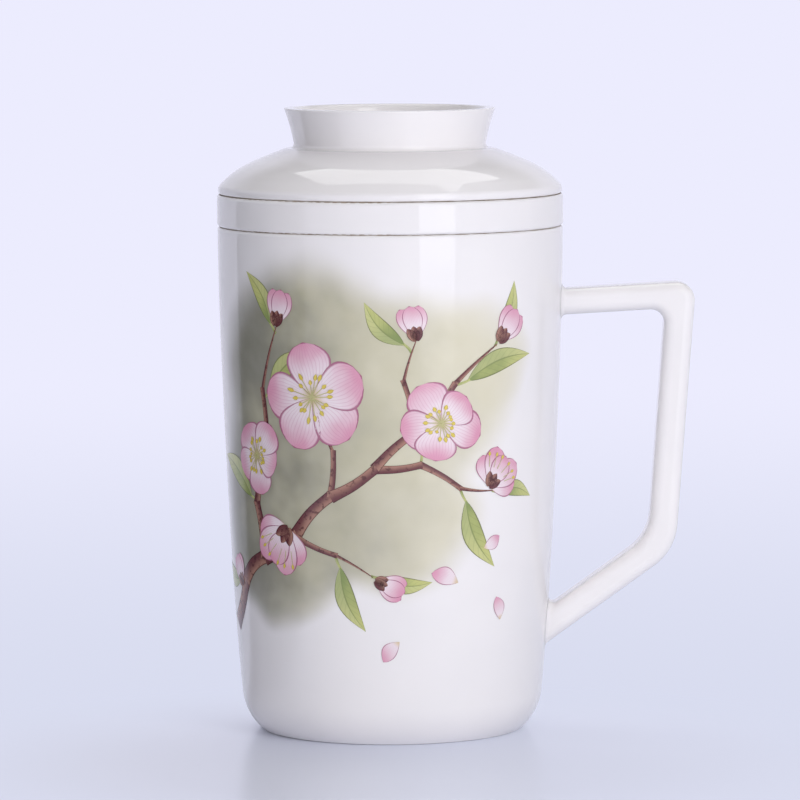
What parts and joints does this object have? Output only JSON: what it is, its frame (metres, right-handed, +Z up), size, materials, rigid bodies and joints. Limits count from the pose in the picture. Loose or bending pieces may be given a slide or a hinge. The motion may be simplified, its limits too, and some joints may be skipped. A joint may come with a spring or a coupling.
{
  "type": "lidded tea mug with infuser",
  "caption": "Tall tapered porcelain mug with an angular handle, a drop-in strainer whose band sits on the rim, and a lift-off domed lid held by a hollow flared ring.",
  "frame": {"origin": "on the mug's axis, in the plane that its foot ring stands on", "axes": "+Z up along the mug's axis, +X towards the handle"},
  "size_m": [0.1175, 0.0852, 0.1532],
  "materials": {
    "printed_porcelain": "clear glaze over white porcelain with a printed floral design, bare clay on the foot ring and the rim's top",
    "white_porcelain": "clear glaze over white porcelain, bare clay where the pieces rest on one another"
  },
  "bodies": {
    "mug": {"mug_body": "printed_porcelain", "mug_handle": "white_porcelain"},
    "infuser": {"infuser": "white_porcelain"},
    "lid": {"lid_dome": "white_porcelain", "lid_grip_ring": "white_porcelain"}
  },
  "joints": [
    {"name": "infuser_lift", "type": "slide", "parent": "mug", "child": "infuser", "axis": [0, 0, 1], "range_m": [0, 0.09]},
    {"name": "lid_lift", "type": "slide", "parent": "infuser", "child": "lid", "axis": [0, 0, 1], "range_m": [0, 0.06]}
  ]
}
